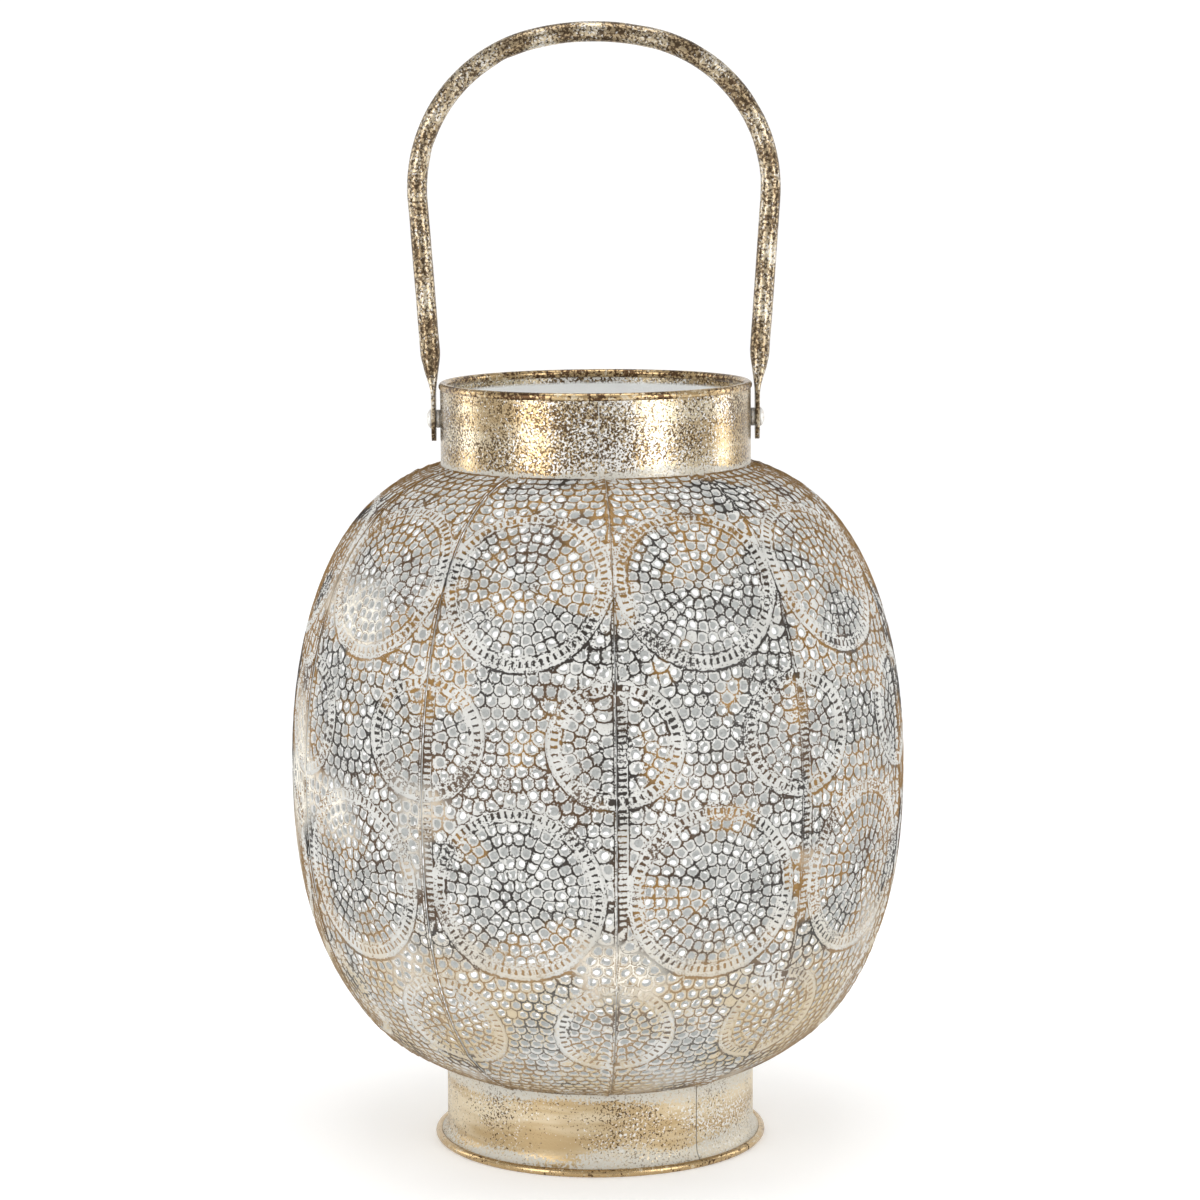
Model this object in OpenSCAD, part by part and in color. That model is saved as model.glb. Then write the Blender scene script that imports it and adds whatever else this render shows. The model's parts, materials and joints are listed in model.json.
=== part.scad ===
// Pierced metal lantern. Ten pressed sheet gores stand between a rolled neck and a rolled foot,
// a plate inside carries the candle, and a bail handle swings on two rivets.
// Millimetres. +Z is up, +X runs along the handle's pivot, and the origin is the centre of the
// foot's underside. The front, where the seams are counted from, faces -Y.

/* [Shell] */
// Widest radius of the shell
shell_r = 115.4; // [112:0.1:120]
// Height of the widest point above the ground
belly_z = 145.5; // [142:0.5:148]
// Fullness of the shoulder, where 2 is a round one
crown_fullness = 4; // [3:0.1:5]
// Fullness of the bottom, where 2 is a round one
sump_fullness = 3; // [2.4:0.1:3.6]
// Thickness of all sheet
sheet_t = 0.8; // [0.6:0.1:1]
// Number of gores
gore_count = 10; // [8:1:12]
// Turn of the first seam from the front, in degrees
seam_turn = 3.2; // [0:0.1:36]

/* [Neck] */
// Outer radius of the neck band
neck_r = 58.2; // [57:0.1:59]
// Height where the neck band stands on the shell
neck_z = 257.8; // [257:0.1:258.5]
// Height of the rim bead's centre
rim_z = 287; // [286:0.5:290]
// Radius of the rim bead's wire
rim_wire_r = 1.6; // [1.2:0.1:1.8]

/* [Foot] */
// Outer radius of the foot band's wall
foot_r = 58.5; // [58:0.1:59]
// Height where the shell stands on the foot band
foot_z = 30.2; // [30:0.1:31]
// Radius of the cove that flares the foot band out
cove_r = 7; // [6:0.5:9]
// Radius to the centre of the foot ring's wire
ring_r = 61.6; // [61:0.1:62]
// Radius of the foot ring's wire
ring_wire_r = 1.5; // [1.2:0.1:1.8]
// Depth filed off the foot ring so that it stands flat
ring_flat = 0.15; // [0.1:0.05:0.3]
// Reach of the tabs that carry the floor plate, in from the foot band
tab_lip = 3.7; // [3:0.1:5]
// Radius of the floor plate
floor_r = 58; // [56:0.5:58]

/* [Bail handle] */
// Height of the pivot
pivot_z = 274.75; // [273:0.25:276]
// Radius of the round bar
bar_r = 3.75; // [3.5:0.05:4]
// Height of the bar's centre line at the top of the bow
bow_z = 417.65; // [412:0.05:425]
// Half the widest span of the bar's centre line
bow_half = 65.6; // [65:0.1:66.5]
// Height of the widest span
bow_wide_z = 360; // [355:1:365]
// Radius of the bow's flat top
bow_top_r = 95; // [90:1:105]
// Lean of the legs, in degrees
leg_lean = 4; // [3.5:0.1:4.2]
// Height where the bar starts to flatten
leg_end_z = 300; // [298:1:306]
// Height where the bar is flat
flat_z = 283; // [281:1:285]
// Distance from the middle to the flat end's inner face
flat_x = 59.6; // [59.5:0.1:60]
// Thickness of the flat end
flat_t = 1.8; // [1.6:0.1:2.2]
// Width of the flat end
flat_w = 11; // [10:0.5:12]
// Height of the flat end's tip
flat_tip_z = 266.4; // [265:0.1:267.5]

/* [Rivets] */
// Radius of the rivet's shank
shank_r = 2; // [1.6:0.1:2.2]
// Radius of the domed head
head_r = 3.55; // [3.2:0.05:4]
// Height of the domed head
head_h = 1.7; // [1.4:0.1:2]
// Radius of the spacer behind the flat end
spacer_r = 3.4; // [3:0.1:4]
// Slack along the pivot on each side of the flat end
side_gap = 0.15; // [0.1:0.05:0.2]
// Slack between the shank and the holes
hole_gap = 0.06; // [0.03:0.01:0.1]

/* [Hidden] */
$fn = 96;
gore_angle = 360 / gore_count;
outline_steps = 36;
arc_steps = 12;
overlap = 0.8; // buried length where solids of one piece join
tuck = 0.05; // how much thinner the buried end is
neck_in_r = neck_r - sheet_t;
wall_mid_r = foot_r - sheet_t / 2;
ring_z = ring_wire_r - ring_flat;
cove_turn = acos(1 - (ring_r - wall_mid_r) / cove_r);
cove_z = ring_z + cove_r * sin(cove_turn);
rim_r = neck_r + 0.4 - rim_wire_r;

// Shell outline: (r / shell_r)^fullness + (height / reach)^rise = 1, with one set of values
// above the belly and another below it. The reach is what brings the outline to the neck
// band above and to the foot band below.
crown_rise = 2;
sump_rise = 2.4;
function reach_to(h, r, fullness, rise) = h / pow(1 - pow(r / shell_r, fullness), 1 / rise);
crown_h = reach_to(neck_z - belly_z, neck_r + 0.1, crown_fullness, crown_rise);
sump_h = reach_to(belly_z - foot_z, foot_r, sump_fullness, sump_rise);
function reach(z) = z > belly_z ? crown_h : sump_h;
function fullness(z) = z > belly_z ? crown_fullness : sump_fullness;
function rise(z) = z > belly_z ? crown_rise : sump_rise;
function height_share(z) = abs(z - belly_z) / reach(z);
function outline_r(z) = shell_r * pow(1 - pow(height_share(z), rise(z)), 1 / fullness(z));
function unit(v) = v / norm(v);
function outline_normal(z) = unit([
    fullness(z) * pow(outline_r(z) / shell_r, fullness(z) - 1) / shell_r,
    sign(z - belly_z) * rise(z) * pow(height_share(z), rise(z) - 1) / reach(z)]);
function inside_point(z) = [outline_r(z), z] - sheet_t * outline_normal(z);
low_angle = asin((belly_z - foot_z) / sump_h);
high_angle = asin((neck_z - belly_z) / crown_h);
function outline_z(i) = let (a = -low_angle + (low_angle + high_angle) * i / outline_steps)
    belly_z + reach(belly_z + a) * sin(a);
outline_heights = [for (i = [0:outline_steps]) outline_z(i)];
floor_z = inside_point(foot_z)[1];

// Bow: a flat top arc meets two shoulder arcs, which run on into the legs
bow_rise = bow_z - bow_wide_z;
top_drop = bow_top_r - bow_rise;
shoulder_r = (bow_top_r * bow_top_r - bow_half * bow_half - top_drop * top_drop)
    / (2 * (bow_top_r - bow_half));
shoulder_x = bow_half - shoulder_r;
top_turn = atan2(shoulder_x, top_drop);
leg_top = [shoulder_x + shoulder_r * cos(leg_lean), bow_wide_z - shoulder_r * sin(leg_lean)];
leg_length = (leg_top[1] - leg_end_z) / cos(leg_lean);
leg_end_x = leg_top[0] - leg_length * sin(leg_lean);
slim_bar_r = bar_r - tuck;
top_tuck_turn = overlap / bow_top_r * 180 / PI;
flat_mid_x = flat_x + flat_t / 2;
flat_round_r = flat_w / 2;
head_x = flat_x + flat_t + side_gap;
dome_r = (head_r * head_r + head_h * head_h) / (2 * head_h);
tail_r = head_r - 0.35;
tail_h = 1.4;

function panel_name(i) = str("shell_panel_", i < 10 ? "0" : "", i);

// A wire bent into a level ring
module wire_ring(r, z, wire_r) {
    translate([0, 0, z]) rotate_extrude() translate([r, 0]) circle(r = wire_r);
}

// A round bar or disc that lies along +X, from x to x + length, at the pivot's height
module pivot_rod(x, length, r) {
    translate([x, 0, pivot_z]) rotate([0, 90, 0]) cylinder(h = length, r = r);
}

// One gore: its end faces meet the next gore's, its top carries the neck band, and the tabs
// at its foot turn in under the floor plate
module shell_panel(i) {
    outer = [for (z = outline_heights) [outline_r(z), z]];
    inner = [for (i = [outline_steps:-1:0]) inside_point(outline_heights[i])];
    neck_lip = [[neck_in_r, neck_z], [neck_in_r, inner[0][1]]];
    foot_lip = [[foot_r - sheet_t - tab_lip, floor_z], [foot_r - sheet_t - tab_lip, foot_z]];
    color("gainsboro")
    rotate([0, 0, -90 + seam_turn + (i - 1) * gore_angle])
    rotate_extrude(angle = gore_angle)
    polygon(concat(outer, neck_lip, inner, foot_lip));
}

// Rolled strip with a hole for each rivet, cut away where the rim bead sits
module neck_band() {
    color("tan")
    difference() {
        translate([0, 0, neck_z]) cylinder(h = rim_z - neck_z, r = neck_r);
        translate([0, 0, neck_z - 1]) cylinder(h = rim_z - neck_z + 2, r = neck_in_r);
        wire_ring(rim_r, rim_z, rim_wire_r);
        pivot_rod(-2 * neck_r, 4 * neck_r, shank_r + hole_gap);
    }
}

module neck_rim() {
    color("burlywood") wire_ring(rim_r, rim_z, rim_wire_r);
}

// Straight wall that flares out in a cove and wraps the foot ring
module foot_band() {
    cove_centre = [wall_mid_r + cove_r, cove_z];
    angles = [for (i = [0:arc_steps]) 180 + cove_turn * i / arc_steps];
    outside = [for (a = angles) cove_centre + (cove_r - sheet_t / 2) * [cos(a), sin(a)]];
    inside = [for (i = [arc_steps:-1:0])
        cove_centre + (cove_r + sheet_t / 2) * [cos(angles[i]), sin(angles[i])]];
    color("goldenrod")
    difference() {
        rotate_extrude()
        polygon(concat([[foot_r, foot_z]], outside, inside, [[foot_r - sheet_t, foot_z]]));
        wire_ring(ring_r, ring_z, ring_wire_r);
    }
}

// Wire ring with a narrow flat underneath, which is what the lantern stands on
module foot_ring() {
    color("gold")
    difference() {
        wire_ring(ring_r, ring_z, ring_wire_r);
        translate([0, 0, -ring_wire_r]) cylinder(h = ring_wire_r, r = 2 * ring_r);
    }
}

// Stamped disc that lies on the gores' tabs and carries the candle
module floor_plate() {
    color("white") translate([0, 0, floor_z]) cylinder(h = sheet_t, r = floor_r);
}

// Part of a ring of bar in the XZ plane, from angle a to angle b, counted from +X towards +Z
module bar_arc(x, z, r, a, b, bar) {
    translate([x, 0, z]) rotate([90, 0, 0]) rotate([0, 0, a])
    rotate_extrude(angle = b - a) translate([r, 0]) circle(r = bar);
}

// Where the bar is squeezed flat: a widening cone, pinched between two sloping planes
module pinch() {
    pinch_top = leg_end_z + 1;
    pinch_half = bar_r + 0.5;
    intersection() {
        translate([leg_end_x, 0, leg_end_z]) rotate([0, 180 + leg_lean, 0])
        cylinder(h = leg_end_z - flat_z + 1, r1 = slim_bar_r, r2 = flat_w / 2 + 0.2);
        rotate([90, 0, 0]) translate([0, 0, -flat_w]) linear_extrude(2 * flat_w)
        polygon([
            [flat_x, flat_z], [flat_x + flat_t, flat_z],
            [leg_end_x + pinch_half, pinch_top], [leg_end_x - pinch_half, pinch_top]]);
    }
}

// The right leg: straight bar, the pinch, and the flat end with its rivet hole
module leg() {
    translate([leg_end_x, 0, leg_end_z]) rotate([0, leg_lean, 0])
    cylinder(h = leg_length + overlap, r = slim_bar_r);
    pinch();
    difference() {
        union() {
            translate([flat_x, -flat_w / 2, flat_tip_z + flat_round_r])
            cube([flat_t, flat_w, flat_z + overlap - flat_tip_z - flat_round_r]);
            translate([flat_x, 0, flat_tip_z + flat_round_r]) rotate([0, 90, 0])
            cylinder(h = flat_t, r = flat_round_r);
        }
        pivot_rod(flat_x - 1, flat_t + 2, shank_r + hole_gap);
    }
}

// One bar, bent to a bow and flattened at both ends
module handle() {
    color("peru") {
        half_turn = top_turn + top_tuck_turn;
        bar_arc(0, bow_z - bow_top_r, bow_top_r, 90 - half_turn, 90 + half_turn, slim_bar_r);
        bar_arc(shoulder_x, bow_wide_z, shoulder_r, -leg_lean, 90 - top_turn, bar_r);
        bar_arc(-shoulder_x, bow_wide_z, shoulder_r, 90 + top_turn, 180 + leg_lean, bar_r);
        leg();
        mirror([1, 0, 0]) leg();
    }
}

// Domed head outside, shank through flat end, spacer and band, and a flattened tail inside,
// turned about the pivot from one half outline of radius against distance along +X
module rivet() {
    tail_x = sqrt(neck_in_r * neck_in_r - tail_r * tail_r);
    color("silver")
    translate([0, 0, pivot_z]) rotate([0, 90, 0])
    rotate_extrude() {
        intersection() {
            translate([0, head_x + head_h - dome_r]) circle(r = dome_r);
            translate([0, head_x]) square([2 * head_r, 2 * head_h]);
        }
        translate([0, tail_x - tail_h]) square([shank_r, head_x - tail_x + tail_h + overlap]);
        translate([0, tail_x - tail_h]) square([tail_r, tail_h]);
    }
}

// Flat washer that holds the handle off the band
module spacer() {
    color("darkgray")
    difference() {
        pivot_rod(neck_r, flat_x - side_gap - neck_r, spacer_r);
        pivot_rod(neck_r - 1, flat_x - neck_r + 2, shank_r + hole_gap);
    }
}

for (i = [1:gore_count]) shell_panel(i);
neck_band();
neck_rim();
foot_band();
foot_ring();
floor_plate();
handle();
mirror([1, 0, 0]) rivet();  // rivet_left
rivet();  // rivet_right
mirror([1, 0, 0]) spacer();  // spacer_left
spacer();  // spacer_right
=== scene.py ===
# %% [markdown]
# # A pierced metal lantern
# The lantern is built from thin steel sheet: ten upright gores, stamped with medallions and
# pierced with hundreds of scale-shaped holes, a rolled neck, a rolled foot and a bail handle.
# The CAD frame holds the true sizes and the hinge. Here each plain CAD part gets its real
# surface. The frame is loaded first, because every piece is placed by it.

# %% Load the frame
import json
import math
import random
import bmesh
import bpy
import numpy as np
from mathutils import Matrix, Vector, geometry

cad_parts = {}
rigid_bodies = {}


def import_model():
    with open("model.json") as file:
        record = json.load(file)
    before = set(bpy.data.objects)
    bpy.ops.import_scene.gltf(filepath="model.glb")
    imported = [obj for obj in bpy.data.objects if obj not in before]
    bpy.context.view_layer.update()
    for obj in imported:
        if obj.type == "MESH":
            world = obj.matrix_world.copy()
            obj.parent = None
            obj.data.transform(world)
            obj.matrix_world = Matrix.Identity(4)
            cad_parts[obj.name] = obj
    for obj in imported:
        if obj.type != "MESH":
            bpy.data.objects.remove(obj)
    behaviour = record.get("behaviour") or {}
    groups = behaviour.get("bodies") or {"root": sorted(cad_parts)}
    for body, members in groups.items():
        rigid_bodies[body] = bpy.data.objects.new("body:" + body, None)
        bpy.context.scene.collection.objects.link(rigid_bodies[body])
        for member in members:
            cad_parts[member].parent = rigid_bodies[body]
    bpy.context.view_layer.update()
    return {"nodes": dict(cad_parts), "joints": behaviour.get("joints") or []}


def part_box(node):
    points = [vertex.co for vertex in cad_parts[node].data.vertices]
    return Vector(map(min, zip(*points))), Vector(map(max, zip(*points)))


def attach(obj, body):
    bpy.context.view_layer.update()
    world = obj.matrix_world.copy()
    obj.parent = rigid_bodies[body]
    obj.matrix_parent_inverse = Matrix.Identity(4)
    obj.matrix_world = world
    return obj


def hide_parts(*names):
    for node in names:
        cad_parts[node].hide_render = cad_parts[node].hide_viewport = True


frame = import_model()
PANELS = sorted(name for name in frame["nodes"] if name.startswith("shell_panel"))
SWING = frame["joints"][0]
ROOT, BAIL = SWING["parent"], SWING["child"]
PIVOT_Z = SWING["pos_m"][2]
MM = 0.001
print("frame:", len(frame["nodes"]), "nodes,", len(PANELS), "gores, joint", SWING["name"])

# %% [markdown]
# ## The outline of the shell
# Every size that the frame can give is read from it. The shell bulges everywhere, so the
# outermost corners of one gore, seen as radius against height, form a convex chain. That
# chain is found with a hull walk and a smooth curve is drawn through it. Summing the curve's
# short steps gives the length along the sheet, which is what a stamped pattern follows.

# %% Read the outline of one gore


def corners(node):
    """The vertices of a CAD node as an array."""
    return np.array([v.co for v in frame["nodes"][node].data.vertices], float)


def outer_chain(points):
    """The outermost (radius, height) corners of a turned piece, from the bottom to the top."""
    chain = []
    flat = np.round(np.stack([points[:, 2], np.hypot(points[:, 0], points[:, 1])], 1), 6)
    for z, r in sorted(map(tuple, np.unique(flat, axis=0)), key=lambda p: (p[0], -p[1])):
        while len(chain) > 1:
            (z1, r1), (z2, r2) = chain[-2:]
            if (z2 - z1) * (r - r1) - (r2 - r1) * (z - z1) >= 0:
                chain.pop()
            else:
                break
        chain.append((z, r))
    return np.array([(r, z) for z, r in chain])


def smooth_through(points, steps):
    """A Catmull-Rom curve through points, with the given number of steps between two points."""
    p = np.vstack([2 * points[0] - points[1], points, 2 * points[-1] - points[-2]])
    t = np.linspace(0, 1, steps, endpoint=False)[:, None]
    made = [
        0.5 * ((2 * b) + (c - a) * t + (2 * a - 5 * b + 4 * c - d) * t**2
               + (3 * b - a - 3 * c + d) * t**3)
        for a, b, c, d in zip(p[:-3], p[1:-2], p[2:-1], p[3:])]
    return np.vstack([*made, points[-1:]])


OUTLINE = smooth_through(outer_chain(corners(PANELS[0])), 16)
OUTLINE_S = np.concatenate([[0], np.cumsum(np.hypot(*np.diff(OUTLINE, axis=0).T))])
SHEET_LENGTH = OUTLINE_S[-1]
SLOPE = np.gradient(OUTLINE, OUTLINE_S, axis=0)
HALF_GORE = math.pi / len(PANELS)
FOOT_Z, NECK_Z = OUTLINE[0, 1], OUTLINE[-1, 1]


def radius_at(s):
    """Radius of the shell at length s along the sheet from the foot."""
    return np.interp(s, OUTLINE_S, OUTLINE[:, 0])


def sheet_length_at(z):
    """Length along the sheet from the foot to height z."""
    return float(np.interp(z, OUTLINE[:, 1], OUTLINE_S))


print("sheet", round(SHEET_LENGTH / MM, 1), "mm long, widest", round(OUTLINE[:, 0].max() / MM, 1),
      "mm, from", round(FOOT_Z / MM, 1), "to", round(NECK_Z / MM, 1), "mm high")

# %% [markdown]
# ## Camera, light and floor
# A lantern like this is shown on a white sweep with a large soft light on each side. The
# camera stands higher than the rim and looks slightly down. It has a long lens, so the
# outline is nearly flat. The gold needs something to mirror, so besides the two side lights
# there is a top light, and the dim gaps between the lights give the gold its dark bands.

# %% Place the camera
LENS = 110.0
CAMERA_AT = Vector((0, -1.3684, 0.3969))
PITCH = math.radians(7.95)
ROLL = math.radians(-0.40)
YAW = math.radians(0.05)
camera_data = bpy.data.cameras.new("camera")
camera_data.lens = LENS
camera_data.sensor_width = 36
camera = bpy.data.objects.new("camera", camera_data)
camera.matrix_world = (
    Matrix.Translation(CAMERA_AT) @ Matrix.Rotation(-YAW, 4, "Z")
    @ Matrix.Rotation(math.pi / 2 - PITCH, 4, "X") @ Matrix.Rotation(ROLL, 4, "Z"))
bpy.context.scene.collection.objects.link(camera)
bpy.context.scene.camera = camera
print("camera", round(-CAMERA_AT.y, 3), "m away")

# %% Soft lights and a pale world


def soft_light(name, place, aim, size, power):
    """A rectangular area light that looks at aim."""
    data = bpy.data.lights.new(name, "AREA")
    data.shape = "RECTANGLE"
    data.size, data.size_y = size
    data.energy = power
    light = bpy.data.objects.new(name, data)
    light.location = place
    light.rotation_euler = (Vector(aim) - Vector(place)).to_track_quat("-Z", "Y").to_euler()
    bpy.context.scene.collection.objects.link(light)


BELLY = (0, 0, 0.2)
SKY = 0.60


def softbox(name, azimuth, distance, height, size, radiance):
    """A soft light that stands at an azimuth from the camera's side and faces the lantern."""
    a = math.radians(azimuth)
    place = (distance * math.sin(a), -distance * math.cos(a), height)
    soft_light(name, place, BELLY, size, radiance * math.pi * size[0] * size[1])


for side, letter in ((-1, "l"), (1, "r")):
    softbox("window_" + letter, side * 44, 1.6, 0.45, (0.66, 1.4), radiance=3.4)
    softbox("strip_" + letter, side * 107, 1.4, 0.35, (0.3, 1.4), radiance=3.0)
soft_light("top_light", (0.0, -0.1, 1.7), BELLY, (1.0, 1.0), power=7)
world = bpy.data.worlds.new("studio")
world.use_nodes = True
sky = world.node_tree.nodes["Background"].inputs
sky["Color"].default_value = (1, 1, 1, 1)
sky["Strength"].default_value = SKY
bpy.context.scene.world = world
bpy.context.scene.view_settings.view_transform = "Standard"

# %% [markdown]
# ## Shader arithmetic
# The finishes are layers: metal, paint over it, and wear that brings the metal back. Each
# layer is a mask, and masks are easiest to read as sums and products. One small class wraps
# a socket so that `1 - mask` or `a * b` adds the Math node for it, and one method adds every
# other node.

# %% Wires and paint


class Wire:
    """A shader socket that takes part in plain arithmetic."""

    def __init__(self, paint, socket):
        self.paint = paint
        self.socket = socket

    def __add__(self, other):
        return self.paint.maths("ADD", self, other)

    def __sub__(self, other):
        return self.paint.maths("SUBTRACT", self, other)

    def __rsub__(self, other):
        return self.paint.maths("SUBTRACT", other, self)

    def __mul__(self, other):
        return self.paint.maths("MULTIPLY", self, other)

    __radd__ = __add__
    __rmul__ = __mul__

    def above(self, low, high):
        """0 where the value is at low, 1 where it is at high, with a smooth step between."""
        return self.paint.node(
            "ShaderNodeMapRange", {"interpolation_type": "SMOOTHSTEP", "clamp": True},
            {"Value": self, "From Min": low, "From Max": high})

    def largest(self, other):
        return self.paint.maths("MAXIMUM", self, other)

    def swing(self, amount):
        """Noise, which is centred on 0.5, made to swing about zero."""
        return (self - 0.5) * amount


class Paint:
    """A material and the nodes that make its finish."""

    def __init__(self, name):
        self.material = bpy.data.materials.new(name)
        self.material.use_nodes = True
        self.tree = self.material.node_tree
        self.shader = self.tree.nodes["Principled BSDF"]

    def node(self, kind, settings=None, sockets=None, output=0):
        """Adds a node, sets its settings and then its sockets, and wires up one output."""
        made = self.tree.nodes.new(kind)
        for name, value in (settings or {}).items():
            setattr(made, name, value)
        for key, value in (sockets or {}).items():
            self.plug(made.inputs[key], value)
        return Wire(self, made.outputs[output])

    def plug(self, socket, value):
        if isinstance(value, Wire):
            self.tree.links.new(value.socket, socket)
        elif isinstance(value, tuple) and len(value) == 3 and socket.type == "RGBA":
            socket.default_value = (*value, 1)
        else:
            socket.default_value = value

    def maths(self, operation, a, b):
        return self.node("ShaderNodeMath", {"operation": operation}, {0: a, 1: b})

    def mix(self, factor, a, b):
        """Colour a where factor is 0 and colour b where it is 1."""
        return self.node("ShaderNodeMix", {"data_type": "RGBA"}, {0: factor, 6: a, 7: b}, 2)

    def place(self):
        return self.node("ShaderNodeTexCoord", output="Object")

    def along(self, axis):
        return self.node("ShaderNodeSeparateXYZ", None, {0: self.place()}, axis)

    def attribute(self, name):
        return self.node("ShaderNodeAttribute", {"attribute_name": name}, output="Fac")

    def noise(self, grain, detail=2.0, roughness=0.5, stretch=None):
        """Noise whose lumps are about `grain` metres across."""
        where = self.place()
        if stretch:
            where = self.node("ShaderNodeVectorMath", {"operation": "MULTIPLY"},
                              {0: where, 1: stretch})
        return self.node("ShaderNodeTexNoise", None,
                         {"Vector": where, "Scale": 1 / grain, "Detail": detail,
                          "Roughness": roughness})

    def height(self):
        return self.along("Z")

    def across(self):
        """Distance from the lantern's middle plane, left or right."""
        return self.maths("ABSOLUTE", self.along("X"), 0.0)

    def finish(self, **sockets):
        """Plugs values or wires into the main shader by socket name, with _ for a space."""
        for name, value in sockets.items():
            self.plug(self.shader.inputs[name.replace("_", " ")], value)
        return self.material

    def bump(self, height, depth, strength=1.0):
        return self.node("ShaderNodeBump", None,
                         {"Height": height, "Distance": depth, "Strength": strength})


# %% [markdown]
# ## Whitewash over gold: the shell's finish
# The real sheet is gilded, painted white and rubbed back. Rubbing takes the paint off what
# stands highest, so the raised lines between the scales turn brown and gold while the flats
# stay chalky. The mesh carries three attributes: how high a corner stands, which also holds a
# painted shade line along each seam, whether it is outside, and where grime gathers. Slow
# noises decide where the rubbing went down to gold and where it stopped at brown, with more
# gold under the neck, at the sides and near the foot, where a gold haze lies over the paint
# too. In patches below the neck, and faintly near the foot, the crests are painted cream: a
# painted highlight, as if they caught the light. The inside was painted once and never rubbed.

# %% Paint the shell
WHITEWASH = (0.66, 0.655, 0.625)
CHALK_SHADE = (0.54, 0.535, 0.505)
INSIDE_PAINT = (0.87, 0.88, 0.87)
GOLD = (0.27, 0.155, 0.050)
PALE_GOLD = (0.56, 0.44, 0.25)
UMBER = (0.016, 0.010, 0.006)
BROWN = (0.075, 0.037, 0.012)
# painted highlight: cream for crests that seem to catch the light
CREAM_HIGHLIGHT = (0.90, 0.86, 0.76)
SHOULDER = (205 * MM, 250 * MM)
HAZE_FADES = (60 * MM, 120 * MM)
SIDES = (50 * MM, 105 * MM)


def whitewashed_shell():
    paint = Paint("whitewashed_shell")
    wear = paint.attribute("wear_and_seam_shade")
    outside = paint.attribute("outside")
    grime = paint.attribute("grime")
    height = paint.height()
    under_neck = height.above(*SHOULDER)
    low_haze = 1 - height.above(*HAZE_FADES)
    flank = paint.across().above(*SIDES)
    rubbed = paint.noise(0.040, 2).above(0.47, 0.58)
    gilding = paint.noise(0.026, 2) + under_neck * 0.16 + flank * 0.10 + low_haze * 0.14
    golden = gilding.above(0.53, 0.64)
    grit = paint.noise(0.0011, 3, 0.7)
    uneven = grit.swing(1.4) + paint.noise(0.007, 2).swing(1.5)
    crest = (wear + uneven + (under_neck + flank * 0.5) * 0.16).above(0.40, 0.56)
    skirt = wear.above(0.12, 0.34) * (1 - crest)
    # painted highlight: in these patches, and faintly near the foot, crests and their feet turn cream
    # as if lit
    highlight_patches = paint.noise(0.055, 1).above(0.60, 0.72) * (1 - under_neck)
    dust = paint.noise(0.0008, 1, 0.5) + paint.noise(0.016, 2).swing(0.55)
    flecks = (dust + wear * 0.10 + grime * 0.15).above(0.62, 0.665)
    base = paint.mix(paint.noise(0.012, 3).above(0.35, 0.75), WHITEWASH, CHALK_SHADE)
    haze = low_haze * (paint.noise(0.022, 2) + grit.swing(0.8)).above(0.37, 0.57)
    base = paint.mix(haze * 0.85 * (1 - grime), base, PALE_GOLD)
    line = paint.mix(rubbed, UMBER, BROWN)
    line = paint.mix(golden, line, GOLD)
    highlight_share = highlight_patches.largest(low_haze * 0.12)
    line = paint.mix(highlight_share * crest, line, CREAM_HIGHLIGHT)
    mark = (crest + skirt * highlight_share * 0.8).largest(flecks * (1 - low_haze) * 0.9) * outside
    colour = paint.mix(mark, base, line)
    return paint.finish(
        Base_Color=paint.mix(outside, INSIDE_PAINT, colour),
        Metallic=mark * golden.largest(haze) * (0.60 - low_haze * 0.25),
        Roughness=0.60 - mark * 0.20 - haze * 0.12,
        Normal=paint.bump(grit, 0.00012, 0.5))


SHELL_PAINT = whitewashed_shell()
print(len(SHELL_PAINT.node_tree.nodes), "nodes in the shell's paint")


# %% [markdown]
# ## Gold leaf, worn: the bands
# The neck and the foot are gilded strips. White paint was dabbed on their edges and wiped
# off the middle, which left fine white and brown flecks in the gold. The metal shows soft
# upright reflections, so it has to be a real metal with moderate roughness and not a yellow
# paint. The inside of the neck is plain white up to the bead. At the neck's front middle a
# patch gets more white and brown flecks, which are partly flecks and partly a painted dark
# reflection.

# %% Paint the bands
LEAF = (0.48, 0.355, 0.195)
LEAF_PALE = (0.68, 0.585, 0.42)
LEAF_DARK = (0.085, 0.048, 0.022)
SILVERED = (0.76, 0.74, 0.70)
OLD_WHITE = (0.57, 0.55, 0.49)
BEAD_LINE = (4.5 * MM, 3 * MM)
PATCH_FADE = 4 * MM


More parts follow.
